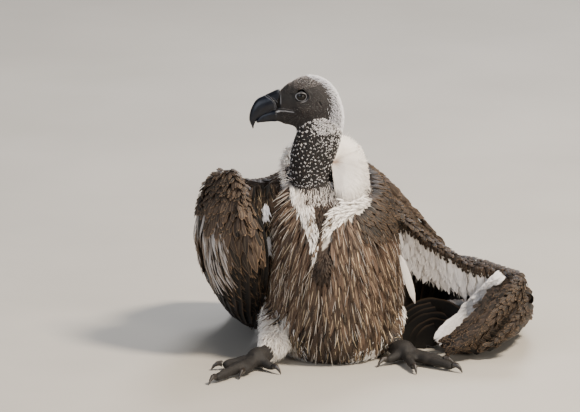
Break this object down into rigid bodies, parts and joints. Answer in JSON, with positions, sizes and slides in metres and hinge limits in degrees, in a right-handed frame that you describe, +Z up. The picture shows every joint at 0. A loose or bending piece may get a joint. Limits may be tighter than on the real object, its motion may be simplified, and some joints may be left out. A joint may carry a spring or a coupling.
{
  "type": "white-backed vulture",
  "caption": "Life-size still model of a white-backed vulture sitting on its tarsi, one wing hanging folded and the other leant half open on its wrist.",
  "frame": {"origin": "on the floor, under the middle of the bird's bounding box", "axes": "+Z up; -Y the way the breast faces; the bill points to -X; +X is the bird's left"},
  "size_m": [0.5268, 0.6642, 0.4516],
  "materials": {
    "skin": "dark scaly skin with sparse bristles",
    "down": "soft white down",
    "brown_feather": "matt brown feathers with pale shafts and edges",
    "flight_feather": "stiff blackish feathers with a low sheen",
    "horn": "polished black horn",
    "eye": "wet dark eye"
  },
  "bodies": {
    "root": {"bill_lower": "horn", "bill_upper": "horn", "cere": "horn", "claw_left_back": "horn", "claw_left_inner": "horn", "claw_left_middle": "horn", "claw_left_outer": "horn", "claw_right_back": "horn", "claw_right_inner": "horn", "claw_right_middle": "horn", "claw_right_outer": "horn", "eye_left": "eye", "eye_right": "eye", "head": "skin", "neck_lower": "skin", "neck_upper": "skin", "ruff": "down", "scapulars_left": "brown_feather", "scapulars_right": "brown_feather", "tail": "flight_feather", "tarsus_left": "skin", "tarsus_right": "skin", "thigh_left": "down", "thigh_right": "down", "toe_left_back": "skin", "toe_left_inner": "skin", "toe_left_middle": "skin", "toe_left_outer": "skin", "toe_right_back": "skin", "toe_right_inner": "skin", "toe_right_middle": "skin", "toe_right_outer": "skin", "trunk": "brown_feather", "wing_left_alula": "flight_feather", "wing_left_forearm": "brown_feather", "wing_left_hand": "brown_feather", "wing_left_primaries": "flight_feather", "wing_left_propatagium": "brown_feather", "wing_left_secondaries": "flight_feather", "wing_left_upper_arm": "brown_feather", "wing_right_alula": "flight_feather", "wing_right_forearm": "brown_feather", "wing_right_hand": "brown_feather", "wing_right_primaries": "flight_feather", "wing_right_propatagium": "brown_feather", "wing_right_secondaries": "flight_feather", "wing_right_upper_arm": "brown_feather"}
  },
  "joints": []
}
